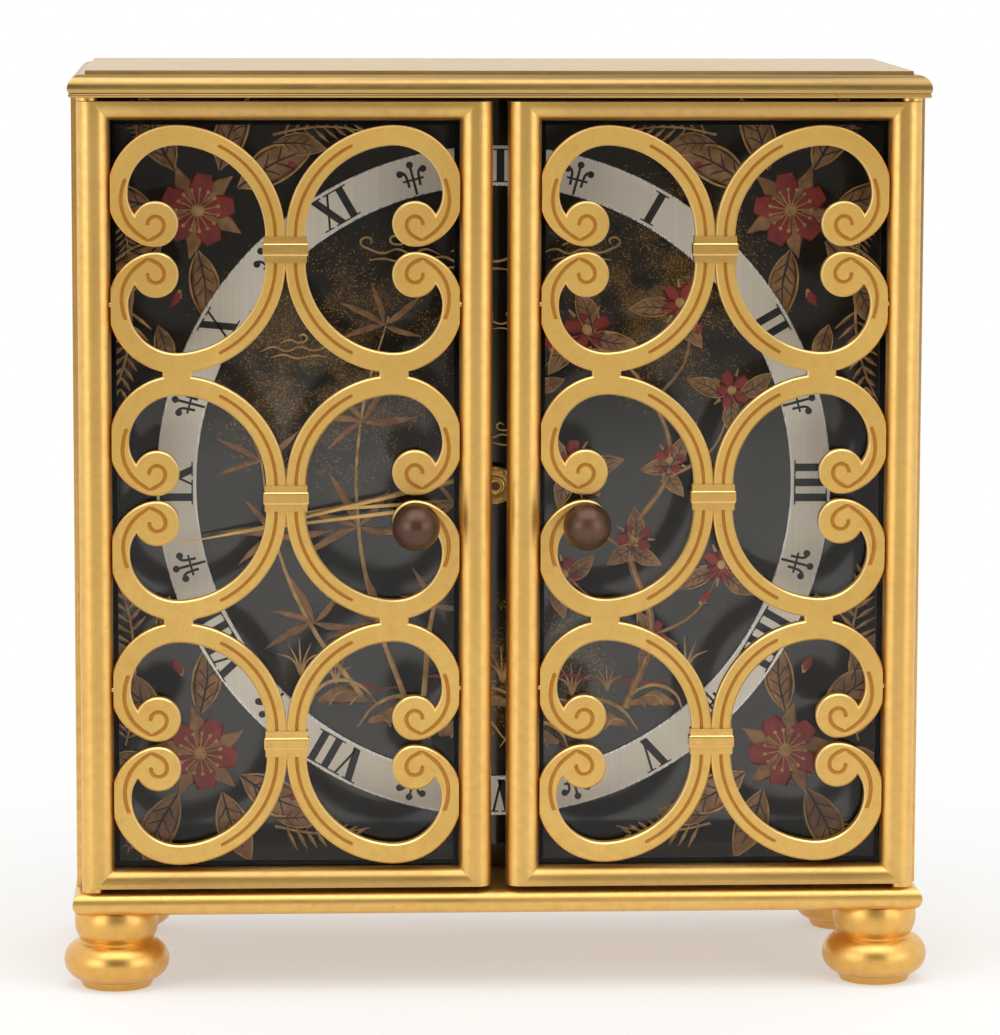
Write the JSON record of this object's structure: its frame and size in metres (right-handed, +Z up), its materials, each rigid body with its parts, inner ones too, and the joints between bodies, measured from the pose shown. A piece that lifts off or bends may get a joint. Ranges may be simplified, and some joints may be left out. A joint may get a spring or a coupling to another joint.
{
  "type": "desk clock",
  "caption": "Cabinet-shaped gilt brass desk clock on bun feet, with glazed scroll-grille doors that swing open over a black lacquered dial, silvered hour ring and wound movement.",
  "frame": {"origin": "on the standing surface, under the centre of the clock", "axes": "+X to the clock's right as seen from the front, +Y to the back, +Z up"},
  "size_m": [0.1952, 0.0997, 0.2058],
  "materials": {
    "gilt_brass": "satin gilt",
    "movement_brass": "brushed",
    "steel": "polished",
    "silvered": "brushed silvered",
    "black_lacquer": "gloss lacquer",
    "door_glass": "clear",
    "brown_patina": "polished brown patina"
  },
  "bodies": {
    "case": {"cornice_top": "gilt_brass", "base_plate": "gilt_brass", "case_side_left": "gilt_brass", "case_side_right": "gilt_brass", "back_panel": "gilt_brass", "rear_cover": "gilt_brass", "rear_screws": "steel", "tie_rods": "steel", "base_screws": "steel", "bun_foot_front_left": "gilt_brass", "bun_foot_front_right": "gilt_brass", "bun_foot_rear_left": "gilt_brass", "bun_foot_rear_right": "gilt_brass", "door_pivots": "gilt_brass", "dial_plate": "black_lacquer", "dial_screws": "steel", "chapter_ring": "silvered", "movement_front_plate": "movement_brass", "movement_back_plate": "movement_brass", "movement_pillars": "movement_brass", "movement_screws": "steel", "dial_posts": "movement_brass", "balance_cock": "movement_brass", "click_spring": "steel"},
    "left_door": {"left_door_frame": "gilt_brass", "left_door_glass": "door_glass", "left_glass_retainer": "gilt_brass", "left_scroll_grille": "gilt_brass", "left_grille_collars": "gilt_brass", "left_grille_pins": "gilt_brass", "left_door_knob": "brown_patina"},
    "right_door": {"right_door_frame": "gilt_brass", "right_door_glass": "door_glass", "right_glass_retainer": "gilt_brass", "right_scroll_grille": "gilt_brass", "right_grille_collars": "gilt_brass", "right_grille_pins": "gilt_brass", "right_door_knob": "brown_patina"},
    "minute_hand_arbor": {"minute_hand": "gilt_brass", "hand_nut": "gilt_brass", "cannon_pinion": "steel", "centre_arbor": "steel", "set_knob": "gilt_brass"},
    "hour_hand_pipe": {"hour_hand": "gilt_brass", "hour_wheel": "movement_brass"},
    "minute_wheel": {"minute_wheel": "movement_brass"},
    "winding_arbor": {"barrel_arbor": "steel", "ratchet_wheel": "steel", "winding_key": "gilt_brass"},
    "click": {"click": "steel"},
    "spring_barrel": {"barrel": "movement_brass", "mainspring": "steel"},
    "centre_wheel": {"centre_wheel": "movement_brass"},
    "third_wheel": {"third_wheel": "movement_brass"},
    "fourth_wheel": {"fourth_wheel": "movement_brass"},
    "escape_wheel": {"escape_wheel": "steel"},
    "pallet_lever": {"pallet_lever": "steel"},
    "balance": {"balance_wheel": "movement_brass", "hairspring": "steel"}
  },
  "joints": [
    {"name": "left_door_swing", "type": "hinge", "parent": "case", "child": "left_door", "pos_m": [-0.0908, -0.0355, 0.11145], "axis": [0, 0, -1], "range_deg": [0, 170]},
    {"name": "right_door_swing", "type": "hinge", "parent": "case", "child": "right_door", "pos_m": [0.0908, -0.0355, 0.11145], "axis": [0, 0, 1], "range_deg": [0, 170]},
    {"name": "minute_hand_turn", "type": "hinge", "parent": "case", "child": "minute_hand_arbor", "pos_m": [0, 0, 0.11145], "axis": [0, 1, 0], "continuous": true},
    {"name": "hour_hand_turn", "type": "hinge", "parent": "case", "child": "hour_hand_pipe", "pos_m": [0, 0, 0.11145], "axis": [0, 1, 0], "continuous": true},
    {"name": "minute_wheel_turn", "type": "hinge", "parent": "case", "child": "minute_wheel", "pos_m": [0.01039, 0, 0.10545], "axis": [0, 1, 0], "continuous": true},
    {"name": "winding_turn", "type": "hinge", "parent": "case", "child": "winding_arbor", "pos_m": [0, 0, 0.09045], "axis": [0, 1, 0], "range_deg": [0, 2160]},
    {"name": "click_lift", "type": "hinge", "parent": "case", "child": "click", "pos_m": [0.01314, 0, 0.09658], "axis": [0, 1, 0], "range_deg": [0, 8]},
    {"name": "barrel_turn", "type": "hinge", "parent": "case", "child": "spring_barrel", "pos_m": [0, 0, 0.09045], "axis": [0, 1, 0], "continuous": true},
    {"name": "centre_wheel_turn", "type": "hinge", "parent": "case", "child": "centre_wheel", "pos_m": [0, 0, 0.11145], "axis": [0, 1, 0], "continuous": true},
    {"name": "third_wheel_turn", "type": "hinge", "parent": "case", "child": "third_wheel", "pos_m": [-0.01559, 0, 0.12045], "axis": [0, 1, 0], "continuous": true},
    {"name": "fourth_wheel_turn", "type": "hinge", "parent": "case", "child": "fourth_wheel", "pos_m": [-0.00603, 0, 0.13184], "axis": [0, 1, 0], "continuous": true},
    {"name": "escape_wheel_turn", "type": "hinge", "parent": "case", "child": "escape_wheel", "pos_m": [0.00535, 0, 0.12984], "axis": [0, 1, 0], "continuous": true},
    {"name": "lever_rock", "type": "hinge", "parent": "case", "child": "pallet_lever", "pos_m": [0.01212, 0, 0.1271], "axis": [0, 1, 0], "range_deg": [-5, 5]},
    {"name": "balance_swing", "type": "hinge", "parent": "case", "child": "balance", "pos_m": [0.02111, 0, 0.12347], "axis": [0, 1, 0], "range_deg": [-150, 150]}
  ],
  "couplings": [
    {"joint": "hour_hand_turn", "follows": "minute_hand_turn", "ratio": 0.083333},
    {"joint": "minute_wheel_turn", "follows": "minute_hand_turn", "ratio": -0.33333},
    {"joint": "barrel_turn", "follows": "centre_wheel_turn", "ratio": -0.16667},
    {"joint": "third_wheel_turn", "follows": "centre_wheel_turn", "ratio": -8},
    {"joint": "fourth_wheel_turn", "follows": "centre_wheel_turn", "ratio": 60},
    {"joint": "escape_wheel_turn", "follows": "centre_wheel_turn", "ratio": -600}
  ]
}
